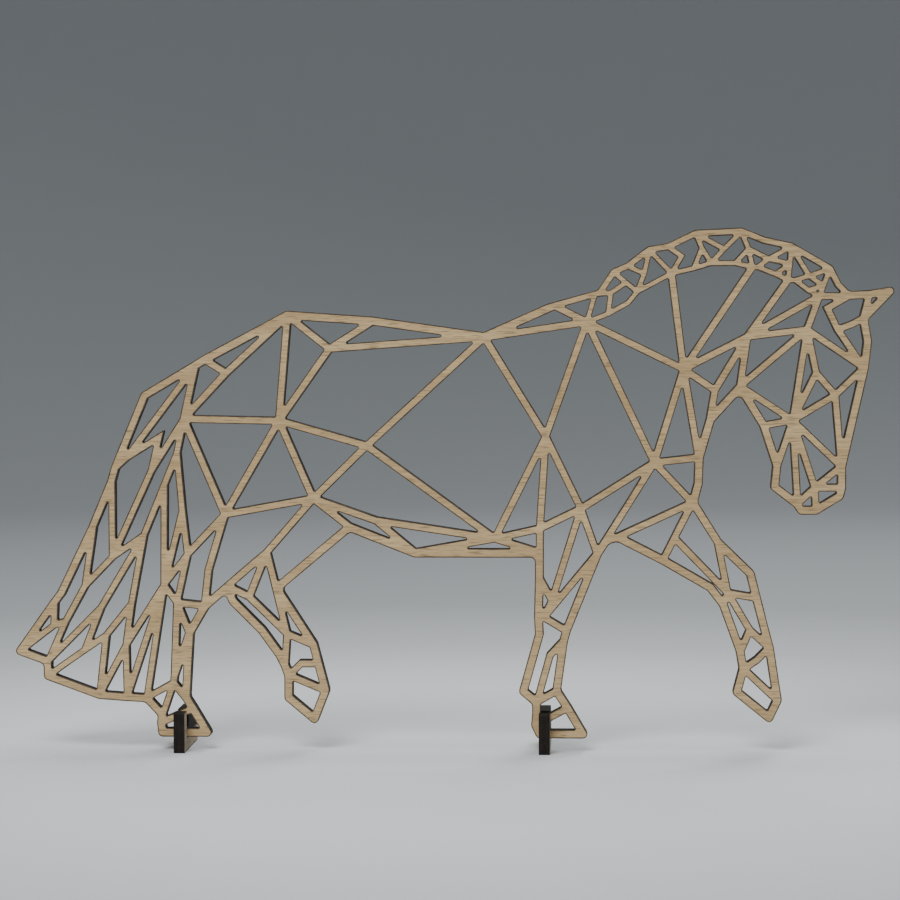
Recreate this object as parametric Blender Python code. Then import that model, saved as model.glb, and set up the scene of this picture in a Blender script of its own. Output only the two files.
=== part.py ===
"""Geometric horse: a walking horse cut from one sheet of plywood as a lattice of straight struts.

The sheet stands upright in two slotted feet, one under each planted hoof. The horse is described
as joints and the struts between them. Every opening is what the struts around it leave free, and
the rim is what the outermost struts cover, so a strut's width is set in one place.

Metres, +Z up. The horse walks towards +X and its flat front face looks along -Y.
"""
import math

import bpy
from mathutils import Vector

# Driving dimensions
HORSE_LENGTH = 0.480          # tail tip to ear tip
SHEET_THICKNESS = 0.006       # plywood of the horse
BODY_STRUT = 0.0043           # widths of the struts
TAIL_STRUT = 0.0039
LEG_STRUT = 0.0042
HEAD_STRUT = 0.0041
MANE_STRUT = 0.0032
OPENING_CORNER = 0.0004       # corner radius of the openings
RIM_CORNER = 0.0024           # corner radius of the outer rim
RIM_MARGIN = 0.0006           # extra width of the rim on its outer side
HOOF_CLEARANCE = 0.0076       # height of the planted hooves over the ground

FOOT_WIDTH = 0.006            # thickness of a foot's own plywood, along X
FOOT_HEIGHT = 0.022
FOOT_FRONT = 0.010            # material in front of the slot, along Y
FOOT_BEHIND = 0.035           # material behind the slot, along Y
FOOT_CORNER = 0.0012          # small upper corners of a foot
FOOT_BACK_ROUND = 0.013       # large upper corner at a foot's back
SLOT_GAP = 0.0003             # running gap between the sheet and a foot

# The pattern is drawn on a grid of 880 squares along the horse's length, with y down
GRID_LENGTH = 880.0
GRID_SOLE = 733.5             # the joints of the planted hooves' lowest struts
SQUARE = HORSE_LENGTH / GRID_LENGTH
REAR_FOOT_PLACE = 180.0       # across the grid, in squares
FRONT_FOOT_PLACE = 545.5
OPENING_ARC_STEP = math.radians(80)
RIM_ARC_STEP = math.radians(32)
FOOT_ARC_STEP = math.radians(9)
STRAIGHT_ENOUGH = math.radians(8)
NEARLY_PARALLEL = 0.02

COLLECTION = "geometric_horse"

TAIL_JOINTS = {
    "t_tip": (17, 652), "t_low": (45, 662), "t_heel": (45, 677), "t_cut": (51, 626),
    "t_cut_in": (63, 622), "t_bend": (59, 594), "t_notch": (52, 603), "t_rim": (92, 526),
    "t_rim_up": (111, 481), "t_split": (115, 467), "t_fan": (126, 457), "t_top": (145, 395),
    "t_root": (196, 365),
    "t_in": (83, 586), "t_fork": (111, 557), "t_knot": (143, 535), "t_mid": (151, 470),
    "t_peak": (159, 436.5), "t_vane": (164, 484), "t_comb": (177, 452), "t_comb_low": (182, 510),
    "t_cross": (187, 554), "t_hub": (163, 585), "t_shelf": (176, 603), "t_star": (124, 646),
    "t_branch": (99, 608), "t_web": (104, 636), "t_web_low": (82, 651), "t_hem_1": (97, 696),
    "t_hem_2": (125, 698), "t_hem_3": (145, 699), "t_hem_4": (161, 716), "t_spur": (172, 684),
    "t_vein": (130, 604),
}
TAIL_STRUTS = (
    "t_tip t_notch t_bend t_rim t_rim_up t_split t_top t_root",
    "t_tip t_cut t_notch", "t_cut t_cut_in", "t_tip t_low t_heel t_hem_1 t_hem_2 t_hem_3 t_hem_4",
    "t_low t_cut_in t_in t_fork t_knot t_vane t_comb", "t_rim t_in", "t_rim_up t_fork",
    "t_fork t_mid q_dock", "t_split t_fan t_peak t_mid", "t_fan t_root", "t_low t_branch t_knot",
    "t_heel t_web_low t_web t_vein", "t_web_low t_branch", "t_web t_hem_1", "t_knot t_vein t_star",
    "t_star t_hem_2", "t_star t_hem_1", "t_star t_hub", "t_hub t_hem_2", "t_hub t_hem_3",
    "t_hub t_cross", "t_vane t_hub", "t_comb t_comb_low t_cross", "t_comb_low t_hub",
    "t_cross t_shelf t_hub", "t_comb q_dock", "t_hem_3 t_spur t_hem_4",
)

QUARTER_JOINTS = {
    "q_dock": (184, 418), "q_croup": (289, 315), "q_rim": (206, 359), "q_brace": (227, 372),
    "q_hip": (280, 420), "q_loin": (331, 348), "q_back": (374, 321), "q_withers": (486, 337),
    "q_flank": (368, 445), "q_thigh": (225, 514), "q_stifle": (314, 498), "q_groin": (350, 526),
    "q_belly": (377, 520), "q_belly_low": (416, 552), "q_girth": (496, 538), "q_elbow": (541, 528),
    "q_elbow_low": (541, 552), "q_gaskin": (267, 552), "q_knee": (227, 586), "q_shank": (249, 597),
    "q_hock": (276, 588), "q_inner": (204, 606), "q_inner_up": (208, 570),
}
QUARTER_STRUTS = (
    "t_root q_rim q_croup q_back q_withers", "q_dock q_brace q_croup", "q_rim q_brace",
    "t_root q_dock", "q_dock q_hip q_flank", "q_hip q_croup", "q_croup q_loin q_hip",
    "q_loin q_back", "q_loin q_withers q_flank q_stifle", "q_flank q_girth",
    "q_dock q_thigh q_hip q_stifle q_thigh", "q_thigh t_cross", "q_thigh q_inner_up q_inner",
    "q_stifle q_gaskin q_knee q_inner", "q_stifle q_belly q_girth", "q_stifle q_groin q_belly_low",
    "q_belly q_belly_low q_girth", "q_belly_low q_elbow_low", "q_girth q_elbow q_elbow_low q_girth",
    "q_groin q_hock q_gaskin q_shank q_knee",
)

HIND_LEG_JOINTS = {
    "h_bend": (188, 633), "h_pastern": (184, 699), "h_left": (173, 677), "h_toe": (205, GRID_SOLE),
    "h_heel": (161, GRID_SOLE), "h_bar": (160, 724), "h_bar_in": (191, 710),
    "g_bend": (233, 601), "g_bend_low": (262, 630), "g_fetlock": (280, 655), "g_notch": (289, 676),
    "g_fork": (287, 634), "g_shin": (285, 665), "g_front": (313, 645), "g_front_low": (318, 664),
    "g_step": (301, 664),
    "g_side": (325, 691), "g_heel": (289, 698), "g_toe": (314, 719),
}
HIND_LEG_STRUTS = (
    "t_shelf q_inner", "q_inner h_bend h_pastern", "t_shelf h_bend h_left",
    "t_shelf h_left t_spur h_pastern h_bar_in h_toe", "t_spur t_hem_4",
    "t_hem_4 h_bar h_heel h_toe", "h_bar h_bar_in",
    "q_knee g_bend g_bend_low g_fetlock g_shin g_notch g_heel g_toe g_side g_front_low g_front q_hock",
    "q_shank g_fork g_front", "q_hock g_fork g_shin", "g_front_low g_step g_notch g_side",
)

FORE_LEG_JOINTS = {
    "f_girth": (541, 578), "f_arm": (553, 600), "f_arm_low": (545, 617), "f_arm_back": (540, 617),
    "f_knee": (567, 630), "f_rear": (541, 634), "f_fetlock": (525, 691), "f_cuff": (564, 641),
    "f_cuff_low": (551, 655), "f_collar": (538, 702), "f_pastern": (557, 691),
    "f_bar": (537, 725), "f_bar_in": (568, 708), "f_heel": (541, GRID_SOLE), "f_toe": (583, GRID_SOLE),
    "f_coronet": (538, 713), "f_chest": (598, 553),
    "r_elbow": (607, 539), "r_fold": (619, 536), "r_low": (664, 559), "r_mid": (675, 537),
    "r_breast": (693, 502), "r_front": (718, 542), "r_front_low": (750, 573), "r_knee": (728, 592),
    "r_bend": (711, 586), "r_knee_low": (724, 603),
    "r_knee_in": (756, 597), "r_cross": (750, 629), "r_outer": (769, 647), "r_inner": (741, 650),
    "r_notch": (744, 668), "r_notch_up": (757, 659), "r_heel": (738, 691), "r_toe": (769, 716),
    "r_side": (777, 699),
}
FORE_LEG_STRUTS = (
    "q_elbow_low f_girth f_arm_back f_rear f_fetlock f_collar", "f_girth f_arm f_arm_low f_arm_back",
    "f_chest f_arm_low f_knee", "f_chest f_knee f_cuff f_pastern f_bar_in f_toe",
    "f_cuff f_cuff_low f_collar f_pastern", "f_collar f_coronet f_bar f_heel f_toe", "f_bar f_bar_in",
    "s_point f_arm", "s_point f_chest r_elbow",
    "r_elbow s_shoulder", "r_elbow r_fold r_breast r_front r_front_low r_knee_in r_outer r_side",
    "r_fold r_low r_bend r_knee_low r_inner r_notch r_heel r_toe r_side r_notch",
    "r_breast r_mid r_low",
    "r_mid r_knee r_front", "r_knee r_knee_low", "r_knee r_knee_in",
    "r_knee r_cross r_outer r_notch_up r_notch",
    "r_cross r_inner",
)

BREAST_JOINTS = {
    "s_withers": (547, 436), "s_point": (582, 508), "s_shoulder": (655, 462), "s_crest": (588, 322),
    "s_fin": (556, 306), "s_base": (684, 369), "s_throat": (699, 457), "s_collar": (698, 483),
    "s_throat_up": (710, 419),
    "s_fold": (715, 390), "s_jowl": (740, 386), "s_hub": (747, 337),
}
BREAST_STRUTS = (
    "q_withers s_withers q_girth", "s_withers q_elbow s_point s_withers s_crest", "q_withers s_crest",
    "q_withers s_fin s_crest", "s_point s_shoulder s_crest s_base s_shoulder s_throat s_base",
    "s_shoulder r_breast s_collar s_throat s_throat_up s_fold s_base s_hub s_fold",
    "s_throat_up s_jowl s_hub",
    "s_base m_low_3", "s_base m_low_6", "s_hub m_low_7",
)

MANE_JOINTS = {
    "m_rim_1": (601, 294), "m_rim_2": (615, 273), "m_rim_3": (629, 267), "m_rim_4": (650, 251),
    "m_rim_5": (669, 248), "m_rim_6": (696, 235), "m_rim_7": (741, 233), "m_rim_8": (763, 242),
    "m_rim_9": (790, 248), "m_rim_10": (828, 270), "m_rim_11": (836, 286), "m_rim_12": (847, 297),
    "m_low_1": (609, 314), "m_low_2": (638, 292), "m_low_3": (672, 274), "m_low_4": (694, 269),
    "m_low_5": (711, 264), "m_low_6": (752, 268), "m_low_7": (787, 281), "m_low_8": (818, 297),
    "m_low_9": (629, 303), "m_a": (596, 295), "m_b": (612, 293), "m_c": (627, 283), "m_d": (645, 274),
    "m_e": (682, 257), "m_f": (702, 249), "m_g": (724, 250), "m_h": (748, 250), "m_i": (735, 264),
    "m_j": (768, 260), "m_k": (789, 265), "m_l": (757, 268), "m_m": (775, 275), "m_n": (808, 277),
    "m_o": (822, 287), "m_p": (807, 291), "m_q": (794, 281),
}
MANE_STRUTS = (
    "s_fin m_a m_rim_1 m_rim_2 m_rim_3 m_rim_4 m_rim_5 m_rim_6 m_rim_7 m_rim_8 m_rim_9 m_rim_10"
    " m_rim_11 m_rim_12",
    "s_crest m_low_1 m_low_9 m_low_2 m_low_3 m_low_4 m_low_5 m_i m_low_6 m_l m_m m_low_7",
    "m_low_7 m_q m_p m_low_8", "s_crest m_a", "m_rim_1 m_b m_low_1", "m_b m_c", "m_rim_2 m_c m_low_2",
    "m_rim_3 m_d m_low_2", "m_rim_4 m_d", "m_rim_4 m_low_3 m_e m_rim_5", "m_rim_6 m_f m_low_4",
    "m_f m_low_5 m_g m_rim_7", "m_rim_6 m_g", "m_rim_7 m_h m_i", "m_h m_low_6", "m_h m_j m_l",
    "m_j m_rim_9 m_k m_low_7", "m_j m_k m_m", "m_rim_9 m_n m_q", "m_n m_rim_10 m_o m_low_8",
    "m_n m_o m_p",
)

HEAD_JOINTS = {
    "k_poll": (806, 330), "k_brow": (862, 368), "k_eye": (815, 373), "k_socket": (834, 395),
    "k_cheek": (792, 420), "k_jaw": (764, 425), "k_jaw_low": (777, 465), "k_chin": (775, 486),
    "k_lip": (797, 503), "k_lip_low": (801, 509), "k_mouth": (815, 509), "k_nose": (838, 495),
    "k_nostril": (814, 487), "k_bridge": (840, 466), "k_bridge_low": (840, 487),
    "k_ear_base": (861, 319), "k_ear_mid": (836, 330), "k_ear_fold": (826, 309),
    "k_ear_tip": (886, 293), "k_ear_top": (867, 296), "k_face": (865, 342), "k_ear_curl": (850, 325),
}
HEAD_STRUTS = (
    "m_low_8 s_hub k_poll m_low_8", "m_low_8 m_rim_12 k_ear_top k_ear_tip k_ear_base k_face k_brow",
    "k_ear_top k_ear_base k_ear_curl k_ear_mid k_brow k_poll k_eye k_socket k_brow k_bridge",
    "m_rim_12 k_ear_fold k_ear_mid", "k_poll s_jowl k_cheek k_poll", "k_cheek k_eye",
    "k_cheek k_socket k_bridge k_cheek", "s_jowl k_jaw k_cheek k_jaw_low", "k_jaw k_jaw_low k_chin",
    "k_chin k_lip k_cheek k_nostril k_lip k_lip_low k_mouth k_nose k_bridge_low k_bridge",
    "k_bridge k_nostril k_bridge_low", "k_nostril k_mouth",
)

REGIONS = (
    (TAIL_JOINTS, TAIL_STRUTS, TAIL_STRUT),
    (QUARTER_JOINTS, QUARTER_STRUTS, BODY_STRUT),
    (HIND_LEG_JOINTS, HIND_LEG_STRUTS, LEG_STRUT),
    (FORE_LEG_JOINTS, FORE_LEG_STRUTS, LEG_STRUT),
    (BREAST_JOINTS, BREAST_STRUTS, BODY_STRUT),
    (MANE_JOINTS, MANE_STRUTS, MANE_STRUT),
    (HEAD_JOINTS, HEAD_STRUTS, HEAD_STRUT),
)


def place(across, down):
    """A grid point as metres in the sheet's own plane: along the horse, and up from the ground."""
    sole = HOOF_CLEARANCE + LEG_STRUT / 2 + RIM_MARGIN
    return Vector((across * SQUARE, sole + (GRID_SOLE - down) * SQUARE))


def lattice():
    """The joints' places, and every strut's width by its pair of joints."""
    joints, struts = {}, {}
    for places, _, _ in REGIONS:
        joints.update({name: place(*spot) for name, spot in places.items()})
    for _, runs, width in REGIONS:
        for run in runs:
            names = run.split()
            for pair in zip(names, names[1:]):
                struts.setdefault(frozenset(pair), width)
    return joints, struts


def loops_of(joints, struts):
    """Every loop of joints that bounds one face of the lattice, the outside among them."""
    around = {}
    for pair in struts:
        a, b = pair
        around.setdefault(a, []).append(b)
        around.setdefault(b, []).append(a)
    for name, others in around.items():
        here = joints[name]
        others.sort(key=lambda other: math.atan2(*(joints[other] - here).yx))
    found, used = [], set()
    for start in sorted(around):
        for first in around[start]:
            if (start, first) in used:
                continue
            loop, a, b = [], start, first
            while (a, b) not in used:
                used.add((a, b))
                loop.append(a)
                others = around[b]
                a, b = b, others[(others.index(a) - 1) % len(others)]
            found.append(loop)
    return found


def area_of(points):
    """Signed area: positive where the points run anticlockwise."""
    pairs = zip(points, points[1:] + points[:1])
    return sum(a.x * b.y - b.x * a.y for a, b in pairs) / 2


def cross(a, b):
    return a.x * b.y - a.y * b.x


def meeting(line, other):
    """Where two lines meet, each a point and a direction; halfway where they run almost parallel."""
    (p, d), (q, e) = line, other
    turn = cross(d, e)
    if abs(turn) < NEARLY_PARALLEL:
        return (p + d * (q - p).dot(d) + q) / 2
    return p + d * (cross(q - p, e) / turn)


def moved_in(points, shifts):
    """The loop with each side moved to its left by its own shift; sides that vanish are dropped."""
    sides = []
    for a, b, shift in zip(points, points[1:] + points[:1], shifts):
        along = (b - a).normalized()
        sides.append(((a + b) / 2 + Vector((-along.y, along.x)) * shift, along))
    while len(sides) > 2:
        corners = [meeting(sides[i - 1], side) for i, side in enumerate(sides)]
        lengths = [
            (corners[(i + 1) % len(corners)] - corners[i]).dot(side[1]) for i, side in enumerate(sides)
        ]
        worst = min(range(len(sides)), key=lengths.__getitem__)
        if lengths[worst] > 0:
            return corners
        del sides[worst]
    return []


def rounded(points, radii, step_angle, share=0.4):
    """The loop with each corner replaced by an arc that takes up to a share of its sides."""
    result = []
    for index, (here, radius) in enumerate(zip(points, radii)):
        to_before = points[index - 1] - here
        to_after = points[(index + 1) % len(points)] - here
        room = share * min(to_before.length, to_after.length)
        to_before.normalize()
        to_after.normalize()
        opening = math.acos(max(-1.0, min(1.0, to_before.dot(to_after))))
        turn = math.pi - opening
        if radius == 0 or turn < STRAIGHT_ENOUGH:
            result.append(here)
            continue
        reach = min(room, radius / math.tan(opening / 2))
        centre = here + (to_before + to_after).normalized() * (reach / math.cos(opening / 2))
        first = here + to_before * reach - centre
        steps = max(1, round(turn / step_angle))
        sign = 1 if cross(to_before, to_after) < 0 else -1
        for step in range(steps + 1):
            angle = sign * turn * step / steps
            c, s = math.cos(angle), math.sin(angle)
            result.append(centre + Vector((first.x * c - first.y * s, first.x * s + first.y * c)))
    return result


def horse_outlines():
    """The rim and the openings, as loops of points in the sheet's plane."""
    joints, struts = lattice()
    outlines = []
    for loop in loops_of(joints, struts):
        points = [joints[name] for name in loop]
        inside = area_of(points) > 0
        extra = 0.0 if inside else RIM_MARGIN
        pairs = zip(loop, loop[1:] + loop[:1])
        shifts = [struts[frozenset(pair)] / 2 + extra for pair in pairs]
        moved = moved_in(points, shifts)
        if len(moved) < 3 or (area_of(moved) > 0) != inside:
            continue
        radius = OPENING_CORNER if inside else RIM_CORNER
        step_angle = OPENING_ARC_STEP if inside else RIM_ARC_STEP
        outlines.append(rounded(moved, [radius] * len(moved), step_angle))
    return outlines


def material(name, colour, roughness):
    made = bpy.data.materials.new(name)
    made.use_nodes = True
    shader = made.node_tree.nodes["Principled BSDF"]
    shader.inputs["Base Color"].default_value = (*colour, 1.0)
    shader.inputs["Roughness"].default_value = roughness
    shader.inputs["Metallic"].default_value = 0.0
    made.diffuse_color = (*colour, 1.0)
    return made


def flat_piece(name, loops, thickness, rotation, location, finish):
    """A sheet part: a filled 2D curve of all its loops, extruded to its thickness."""
    curve = bpy.data.curves.new(name, "CURVE")
    curve.dimensions = "2D"
    curve.fill_mode = "BOTH"
    curve.extrude = thickness / 2
    for loop in loops:
        spline = curve.splines.new("POLY")
        spline.points.add(len(loop) - 1)
        for spot, point in zip(spline.points, loop):
            spot.co = (point.x, point.y, 0.0, 1.0)
        spline.use_cyclic_u = True
    curve.materials.append(finish)
    piece = bpy.data.objects.new(name, curve)
    piece.rotation_euler = rotation
    piece.location = location
    return piece


def foot_outline():
    """A foot seen from its side: distance back from its front end, and height."""
    slot_end = FOOT_FRONT + SHEET_THICKNESS + 2 * SLOT_GAP
    back_end = slot_end + FOOT_BEHIND
    seat = HOOF_CLEARANCE - SLOT_GAP
    corners = (
        (0, 0, 0), (back_end, 0, 0), (back_end, FOOT_HEIGHT, FOOT_BACK_ROUND),
        (slot_end, FOOT_HEIGHT, FOOT_CORNER), (slot_end, seat, 0), (FOOT_FRONT, seat, 0),
        (FOOT_FRONT, FOOT_HEIGHT, FOOT_CORNER), (0, FOOT_HEIGHT, FOOT_CORNER),
    )
    points = [Vector((back, height)) for back, height, _ in corners]
    return rounded(points, [radius for _, _, radius in corners], FOOT_ARC_STEP, share=1.0)


def build():
    collection = bpy.data.collections.new(COLLECTION)
    bpy.context.scene.collection.children.link(collection)
    birch = material("birch_plywood", (0.60, 0.44, 0.27), 0.62)
    scorched = material("scorched_plywood", (0.03, 0.024, 0.02), 0.7)
    outlines = horse_outlines()
    across = [point.x for loop in outlines for point in loop]
    middle = (min(across) + max(across)) / 2
    foot = foot_outline()
    depth = max(point.x for point in foot)
    sheet_place = FOOT_FRONT + SLOT_GAP + SHEET_THICKNESS / 2 - depth / 2
    upright = (math.radians(90), 0, 0)
    sideways = (math.radians(90), 0, math.radians(90))
    horse = flat_piece(
        "horse", outlines, SHEET_THICKNESS, upright, (-middle, sheet_place, 0), birch
    )
    pieces = [horse]
    for name, spot in (("rear_foot", REAR_FOOT_PLACE), ("front_foot", FRONT_FOOT_PLACE)):
        where = (place(spot, GRID_SOLE).x - middle, -depth / 2, 0)
        pieces.append(flat_piece(name, [foot], FOOT_WIDTH, sideways, where, scorched))
    for piece in pieces:
        collection.objects.link(piece)


for leftover in list(bpy.data.objects):
    bpy.data.objects.remove(leftover)
build()
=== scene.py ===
import math

import bmesh
import bpy
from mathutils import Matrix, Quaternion, Vector


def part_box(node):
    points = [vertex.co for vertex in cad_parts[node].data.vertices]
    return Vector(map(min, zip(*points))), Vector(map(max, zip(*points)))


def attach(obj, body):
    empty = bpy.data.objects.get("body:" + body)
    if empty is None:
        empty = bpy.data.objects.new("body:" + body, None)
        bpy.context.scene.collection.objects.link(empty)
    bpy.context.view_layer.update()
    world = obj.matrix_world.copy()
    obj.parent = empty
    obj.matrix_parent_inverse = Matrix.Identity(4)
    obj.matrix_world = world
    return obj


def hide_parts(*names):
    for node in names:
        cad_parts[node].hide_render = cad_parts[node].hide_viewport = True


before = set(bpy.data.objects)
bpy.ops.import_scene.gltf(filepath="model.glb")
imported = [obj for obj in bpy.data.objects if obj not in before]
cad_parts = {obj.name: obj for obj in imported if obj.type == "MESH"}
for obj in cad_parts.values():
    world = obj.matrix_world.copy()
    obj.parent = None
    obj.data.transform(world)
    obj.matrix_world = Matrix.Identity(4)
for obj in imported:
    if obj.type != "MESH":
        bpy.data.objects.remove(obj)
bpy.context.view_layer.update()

# Drawing grid, sizes in metres
HORSE_LENGTH = 0.480
GRID_WIDTH = 880                   # squares of the grid along the horse
GRID_SQUARE = HORSE_LENGTH / GRID_WIDTH
GRID_MIDDLE = 451.9                # the square over the part's own middle
GRID_SOLE = 733.5                  # the square of the hooves' lowest joints
SOLE_JOINT_HEIGHT = 0.0103
X_AXIS, Y_AXIS, Z_AXIS = 0, 1, 2

# Camera, in squares of the grid unless said otherwise
EYE_ACROSS, EYE_DOWN = 600, 315    # the sheet's square nearest to the lens
EYE_AWAY = 2880
LOOK_ACROSS, LOOK_DOWN = 451.5, 449.3  # the square at the picture's middle
FOCAL_SQUARES = 2892               # focal length, where the frame is as wide as the next value
FRAME_SQUARES = 900
CAMERA_ROLL = math.radians(-0.16)
NEAR_CLIP, FAR_CLIP = 0.05, 20.0   # metres

# Dressing of the node meshes, in metres
SCORCH_WIDTH = 0.00062             # brown line that the laser leaves along each cut
WELD_DISTANCE = 0.00001            # doubled vertices closer than this become one
FLAT_NORMAL = 0.9                  # a face is on a flat side if its normal reaches this
FACE_SLOT, SCORCH_SLOT = 1, 2      # places in the mesh's materials; the cuts have place 0

# Wood patterns, in clouds to the metre along X, Y and Z
BROAD_TONES = (7.0, 20.0, 70.0)
FINE_GRAIN = (28.0, 30.0, 900.0)
PORES = (110.0, 60.0, 1700.0)
SCORCH_CLOUDS = (160.0, 160.0, 160.0)
SOOT_CLOUDS = (420.0, 420.0, 420.0)

# Strength of each pattern, and how much of the tan colour it keeps
GRAIN_STRENGTH, GRAIN_SHADE = 0.55, 0.72
PORE_STRENGTH, PORE_SHADE = 0.7, 0.42
LAYER_STRENGTH = 0.35
PLY_LAYER = 0.0015                 # one veneer of the plywood, in metres
REAR_PATCH_EDGE = 0.0004                # half the soft edge where the black area begins, in metres
REAR_PATCH_LOW, REAR_PATCH_HIGH = 0.0080, 0.0100  # the black fades in between these heights, in metres

# Colours, linear red, green and blue
BIRCH_PALE, BIRCH_TAN = (0.76, 0.55, 0.285), (0.57, 0.385, 0.185)
# Foot side tones: the birch darkened and greyed, as painted shade of sides turned from the light
FOOT_PALE_PAINTED_SHADE, FOOT_TAN_PAINTED_SHADE = (0.50, 0.41, 0.31), (0.36, 0.285, 0.205)
SCORCH_DARK, SCORCH_BROWN = (0.040, 0.027, 0.015), (0.125, 0.084, 0.047)
SOOT_BLACK, SOOT_BROWN = (0.006, 0.0048, 0.004), (0.018, 0.013, 0.009)
LAYER_BROWN = (0.03, 0.021, 0.014)
# Black laid on the feet's sides high up, behind the slot
REAR_PATCH_BLACK = (0.006, 0.005, 0.004)
# The paper's middle and grey tones are painted shade further from the part
PAPER_PALE, PAPER_HALF_PAINTED_SHADE, PAPER_PAINTED_SHADE = (0.74, 0.765, 0.78), (0.52, 0.54, 0.55), (0.40, 0.418, 0.427)
SKY_COLOUR = (0.86, 0.93, 1.0)
SKY_STRENGTH = 0.30

# Stage, in metres
PALE_RADIUS = 0.26                 # the floor is pale to here and darkens, as a painted pool of light, to mid grey at the next one
PAINTED_SHADE_RADIUS = 0.80
FLOOR_RADIUS = 2.0                 # the flat floor, before it sweeps up into the wall
COVE_RADIUS = 1.60
COVE_STEPS = 32
WALL_TOP = 3.0
STAGE_SIDES = 96
BODY_MIDDLE = (0.0, 0.0, 0.12)
FLOOR_MIDDLE = (0.0, 0.0, 0.0)

# Input and output numbers of the Mix node's colours, whose names repeat
MIX_SHARE, MIX_FIRST, MIX_SECOND = 0, 6, 7
MIX_RESULT = 2


def grid_point(across, down, y):
    """A square of the horse's drawing grid as a place at the depth y."""
    height = SOLE_JOINT_HEIGHT + (GRID_SOLE - down) * GRID_SQUARE
    return Vector(((across - GRID_MIDDLE) * GRID_SQUARE, y, height))


def shade(colour, share):
    """A colour darkened to a share of itself."""
    return tuple(share * channel for channel in colour)


class Nodes:
    """A material's node tree, built by short calls."""

    def __init__(self, name):
        self.material = bpy.data.materials.new(name)
        self.material.use_nodes = True
        self.tree = self.material.node_tree
        self.shader = self.tree.nodes["Principled BSDF"]
        self.place = self.add("ShaderNodeTexCoord").outputs["Object"]

    def add(self, kind, **settings):
        node = self.tree.nodes.new(kind)
        for key, value in settings.items():
            setattr(node, key, value)
        return node

    def link(self, source, target):
        self.tree.links.new(source, target)

    def axis(self, index):
        """One coordinate of the surface's place, in metres."""
        split = self.add("ShaderNodeSeparateXYZ")
        self.link(self.place, split.inputs[0])
        return split.outputs[index]

    def noise(self, clouds, detail=2.0):
        """Cloudy values with so many clouds to the metre along each axis."""
        mapping = self.add("ShaderNodeMapping")
        mapping.inputs["Scale"].default_value = clouds
        self.link(self.place, mapping.inputs["Vector"])
        cloud = self.add("ShaderNodeTexNoise")
        cloud.inputs["Scale"].default_value = 1.0
        cloud.inputs["Detail"].default_value = detail
        self.link(mapping.outputs["Vector"], cloud.inputs["Vector"])
        return cloud.outputs["Fac"]

    def ramp(self, value, stops):
        """A value turned into colours, each stop a position and a colour."""
        node = self.add("ShaderNodeValToRGB")
        elements = node.color_ramp.elements
        while len(elements) < len(stops):
            elements.new(0.5)
        for element, (position, colour) in zip(elements, stops):
            element.position = position
            element.color = (*colour, 1.0)
        self.link(value, node.inputs["Fac"])
        return node.outputs["Color"]

    def span(self, value, low, high):
        """A value mapped from low..high to 0..1 and held there outside it."""
        node = self.add("ShaderNodeMapRange", clamp=True)
        node.inputs["From Min"].default_value = low
        node.inputs["From Max"].default_value = high
        self.link(value, node.inputs["Value"])
        return node.outputs["Result"]

    def multiply(self, first, second):
        """Two values multiplied; each is a socket or a number."""
        node = self.add("ShaderNodeMath", operation="MULTIPLY")
        for socket, value in zip(node.inputs, (first, second)):
            if isinstance(value, float):
                socket.default_value = value
            else:
                self.link(value, socket)
        return node.outputs["Value"]

    def mix(self, share, first, second):
        """Two colours mixed by a share; each colour is a socket or three numbers."""
        node = self.add("ShaderNodeMix", data_type="RGBA")
        self.link(share, node.inputs[MIX_SHARE])
        for number, colour in ((MIX_FIRST, first), (MIX_SECOND, second)):
            if isinstance(colour, tuple):
                node.inputs[number].default_value = (*colour, 1.0)
            else:
                self.link(colour, node.inputs[number])
        return node.outputs[MIX_RESULT]

    def bump(self, height, strength, distance):
        node = self.add("ShaderNodeBump")
        node.inputs["Strength"].default_value = strength
        node.inputs["Distance"].default_value = distance
        self.link(height, node.inputs["Height"])
        self.link(node.outputs["Normal"], self.shader.inputs["Normal"])

    def shine(self, level):
        self.shader.inputs["Specular IOR Level"].default_value = level

    def finish(self, colour, roughness):
        self.link(colour, self.shader.inputs["Base Color"])
        self.shader.inputs["Roughness"].default_value = roughness
        return self.material


def veneer_colour(nodes, pale, tan):
    """Bare birch with its grain level along X: broad tones, fine grain and short dark pores."""
    broad = nodes.noise(BROAD_TONES, detail=3.0)
    colour = nodes.ramp(broad, ((0.30, tan), (0.70, pale)))
    grain = nodes.noise(FINE_GRAIN, detail=3.0)
    grain_share = nodes.multiply(nodes.span(grain, low=0.42, high=0.70), GRAIN_STRENGTH)
    colour = nodes.mix(grain_share, colour, shade(tan, GRAIN_SHADE))
    pores = nodes.noise(PORES, detail=1.0)
    pore_share = nodes.multiply(nodes.span(pores, low=0.55, high=0.66), PORE_STRENGTH)
    return nodes.mix(pore_share, colour, shade(tan, PORE_SHADE)), grain


def face_material():
    """The horse's bare flat sides."""
    nodes = Nodes("birch_face")
    colour, grain = veneer_colour(nodes, BIRCH_PALE, BIRCH_TAN)
    nodes.bump(grain, strength=0.25, distance=0.0002)
    return nodes.finish(colour, roughness=0.6)


def scorch_material():
    """The brown line along a cut, darker in places."""
    nodes = Nodes("scorch_line")
    colour = nodes.ramp(nodes.noise(SCORCH_CLOUDS), ((0.35, SCORCH_DARK), (0.65, SCORCH_BROWN)))
    return nodes.finish(colour, roughness=0.65)


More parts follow.
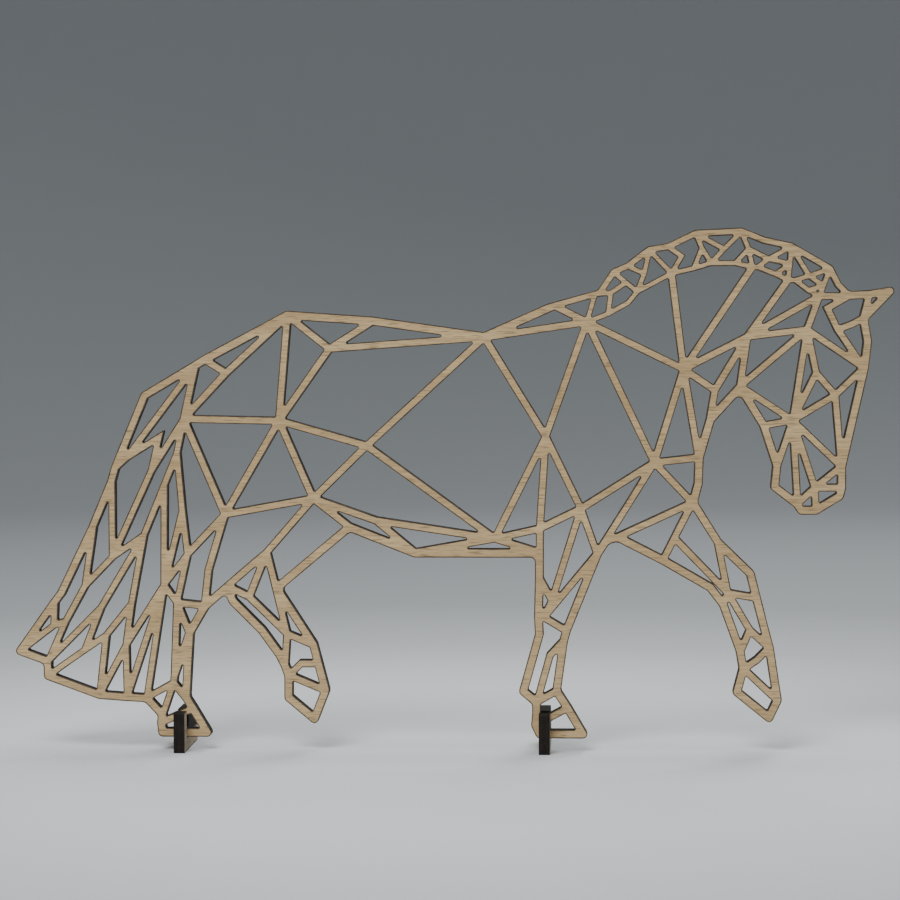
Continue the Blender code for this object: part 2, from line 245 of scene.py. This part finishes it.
def cut_material(name, layer_axis):
    """A laser-burnt cut, near black, with the plywood's layers faintly apart."""
    nodes = Nodes(name)
    layers = nodes.add("ShaderNodeMath", operation="PINGPONG")
    layers.inputs[1].default_value = PLY_LAYER
    nodes.link(nodes.axis(layer_axis), layers.inputs[0])
    line = nodes.span(layers.outputs["Value"], low=0.0, high=PLY_LAYER)
    soot_noise = nodes.noise(SOOT_CLOUDS, detail=4.0)
    soot = nodes.ramp(soot_noise, ((0.30, SOOT_BLACK), (0.75, SOOT_BROWN)))
    layer_share = nodes.multiply(nodes.span(line, low=0.55, high=0.9), LAYER_STRENGTH)
    colour = nodes.mix(layer_share, soot, LAYER_BROWN)
    nodes.shine(0.25)
    nodes.bump(line, strength=0.3, distance=0.0001)
    return nodes.finish(colour, roughness=0.72)


def foot_side_material(slot_end):
    """A foot's flat side: wood in front and low down, in tones darkened as painted shade, and black
    high up at the back.
    """
    nodes = Nodes("foot_side_painted_shade")
    # Painted shade: the foot's wood gets the darker, greyer foot tones instead of the birch tones
    colour, _ = veneer_colour(nodes, FOOT_PALE_PAINTED_SHADE, FOOT_TAN_PAINTED_SHADE)
    # Black on the side behind the slot and above the fade heights
    behind = nodes.span(nodes.axis(Y_AXIS), slot_end - REAR_PATCH_EDGE, slot_end + REAR_PATCH_EDGE)
    high_up = nodes.span(nodes.axis(Z_AXIS), REAR_PATCH_LOW, REAR_PATCH_HIGH)
    colour = nodes.mix(nodes.multiply(behind, high_up), colour, REAR_PATCH_BLACK)
    nodes.shine(0.15)
    return nodes.finish(colour, roughness=0.75)


def scorch_flat_side(work, flat_axis, sign):
    """One flat side: a scorch line set in along its cut edges, and the rest filled anew."""
    flat = [face for face in work.faces if sign * face.normal[flat_axis] > FLAT_NORMAL]
    ring = bmesh.ops.inset_region(
        work, faces=flat, thickness=SCORCH_WIDTH, use_boundary=True, use_even_offset=False
    )
    for face in ring["faces"]:
        face.material_index = SCORCH_SLOT
    inside = set(flat)
    border = {edge for face in flat for edge in face.edges if set(edge.link_faces) - inside}
    bmesh.ops.delete(work, geom=flat, context="FACES")
    outward = [0.0, 0.0, 0.0]
    outward[flat_axis] = sign
    filled = bmesh.ops.triangle_fill(work, use_beauty=True, edges=list(border), normal=outward)
    for made in filled["geom"]:
        if isinstance(made, bmesh.types.BMFace):
            made.material_index = FACE_SLOT


def dressed(node, flat_axis, finishes):
    """A new piece from the node's own mesh, with its two flat sides scorched along the cuts."""
    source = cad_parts[node]
    work = bmesh.new()
    work.from_mesh(source.data)
    bmesh.ops.remove_doubles(work, verts=work.verts, dist=WELD_DISTANCE)
    bmesh.ops.recalc_face_normals(work, faces=work.faces)
    work.normal_update()
    for sign in (-1, 1):
        scorch_flat_side(work, flat_axis, sign)
    bmesh.ops.recalc_face_normals(work, faces=work.faces)
    mesh = bpy.data.meshes.new(node + "_dressed")
    work.to_mesh(mesh)
    work.free()
    for finish in finishes:
        mesh.materials.append(finish)
    for polygon in mesh.polygons:
        polygon.use_smooth = False
    piece = bpy.data.objects.new(node + "_dressed", mesh)
    bpy.context.scene.collection.objects.link(piece)
    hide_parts(node)
    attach(piece, "root")
    return piece


def dress():
    """The horse and its two feet in their finishes."""
    horse_cut = cut_material("horse_cut", Y_AXIS)
    foot_cut = cut_material("foot_cut", X_AXIS)
    scorch = scorch_material()
    horse = dressed("horse", Y_AXIS, (horse_cut, face_material(), scorch))
    slot_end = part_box("horse")[1].y
    foot_side_painted_shade = foot_side_material(slot_end)
    for node in ("rear_foot", "front_foot"):
        foot = dressed(node, X_AXIS, (foot_cut, foot_side_painted_shade, scorch))


def stage_material():
    """Pale paper under the part that turns mid grey further out: a painted pool of light with
    painted shade around it.
    """
    nodes = Nodes("paper_painted_light_pool")
    reach = nodes.add("ShaderNodeVectorMath", operation="LENGTH")
    nodes.link(nodes.place, reach.inputs[0])
    # Painted pool of light: pale under the part, darker with distance
    far = nodes.span(reach.outputs["Value"], PALE_RADIUS, PAINTED_SHADE_RADIUS)
    colour = nodes.ramp(far, ((0.0, PAPER_PALE), (0.45, PAPER_HALF_PAINTED_SHADE), (1.0, PAPER_PAINTED_SHADE)))
    return nodes.finish(colour, roughness=0.85)


def stage_bowl():
    """A round floor that sweeps up into a wall all round, so that every side is seen on it."""
    profile = [(FLOOR_RADIUS, 0.0)]
    for step in range(1, COVE_STEPS + 1):
        angle = math.pi / 2 * step / COVE_STEPS
        profile.append((FLOOR_RADIUS + COVE_RADIUS * math.sin(angle),
                        COVE_RADIUS * (1 - math.cos(angle))))
    profile.append((FLOOR_RADIUS + COVE_RADIUS, WALL_TOP))
    vertices = []
    for radius, height in profile:
        for side in range(STAGE_SIDES):
            angle = 2 * math.pi * side / STAGE_SIDES
            vertices.append((radius * math.cos(angle), radius * math.sin(angle), height))
    floor = tuple(range(STAGE_SIDES))
    faces = [floor]
    for row in range(len(profile) - 1):
        low, high = row * STAGE_SIDES, (row + 1) * STAGE_SIDES
        for side in range(STAGE_SIDES):
            after = (side + 1) % STAGE_SIDES
            faces.append((low + side, high + side, high + after, low + after))
    mesh = bpy.data.meshes.new("stage_bowl")
    mesh.from_pydata(vertices, [], faces)
    mesh.materials.append(stage_material())
    # The floor, the first face, stays flat
    for polygon in mesh.polygons[1:]:
        polygon.use_smooth = True
    bowl = bpy.data.objects.new("stage_bowl", mesh)
    bpy.context.scene.collection.objects.link(bowl)
    return bowl


def area_light(name, place, target, width, watts):
    """A round, soft light at a place, turned to its target."""
    light = bpy.data.lights.new(name, "AREA")
    light.shape = "DISK"
    light.size = width
    light.energy = watts
    lamp = bpy.data.objects.new(name, light)
    lamp.location = place
    aim = Vector(target) - Vector(place)
    lamp.rotation_mode = "QUATERNION"
    lamp.rotation_quaternion = aim.to_track_quat("-Z", "Y")
    bpy.context.scene.collection.objects.link(lamp)
    return lamp


def set_stage():
    """The floor, the three lights and the soft light of the room."""
    key = area_light("key_light", (-0.5, -1.4, 1.7), BODY_MIDDLE, width=1.0, watts=31.0)
    top = area_light("top_light", (0.3, 0.1, 1.6), FLOOR_MIDDLE, width=0.9, watts=10.0)
    back = area_light("back_light", (0.6, 1.5, 1.7), BODY_MIDDLE, width=1.0, watts=14.0)
    stage_bowl()
    world = bpy.data.worlds.new("soft_room")
    world.use_nodes = True
    sky = world.node_tree.nodes["Background"]
    sky.inputs["Color"].default_value = (*SKY_COLOUR, 1.0)
    sky.inputs["Strength"].default_value = SKY_STRENGTH
    bpy.context.scene.world = world


def set_camera():
    """The photograph's viewpoint, far off and a little to the right."""
    sheet_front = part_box("horse")[0].y
    eye = grid_point(EYE_ACROSS, EYE_DOWN, sheet_front - EYE_AWAY * GRID_SQUARE)
    target = grid_point(LOOK_ACROSS, LOOK_DOWN, sheet_front)
    data = bpy.data.cameras.new("camera")
    data.sensor_fit = "HORIZONTAL"
    data.angle = 2 * math.atan(FRAME_SQUARES / 2 / FOCAL_SQUARES)
    data.clip_start = NEAR_CLIP
    data.clip_end = FAR_CLIP
    camera = bpy.data.objects.new("camera", data)
    camera.location = eye
    camera.rotation_mode = "QUATERNION"
    roll = Quaternion((0.0, 0.0, 1.0), CAMERA_ROLL)
    camera.rotation_quaternion = (target - eye).to_track_quat("-Z", "Y") @ roll
    bpy.context.scene.collection.objects.link(camera)
    bpy.context.scene.camera = camera


dress()
set_stage()
set_camera()
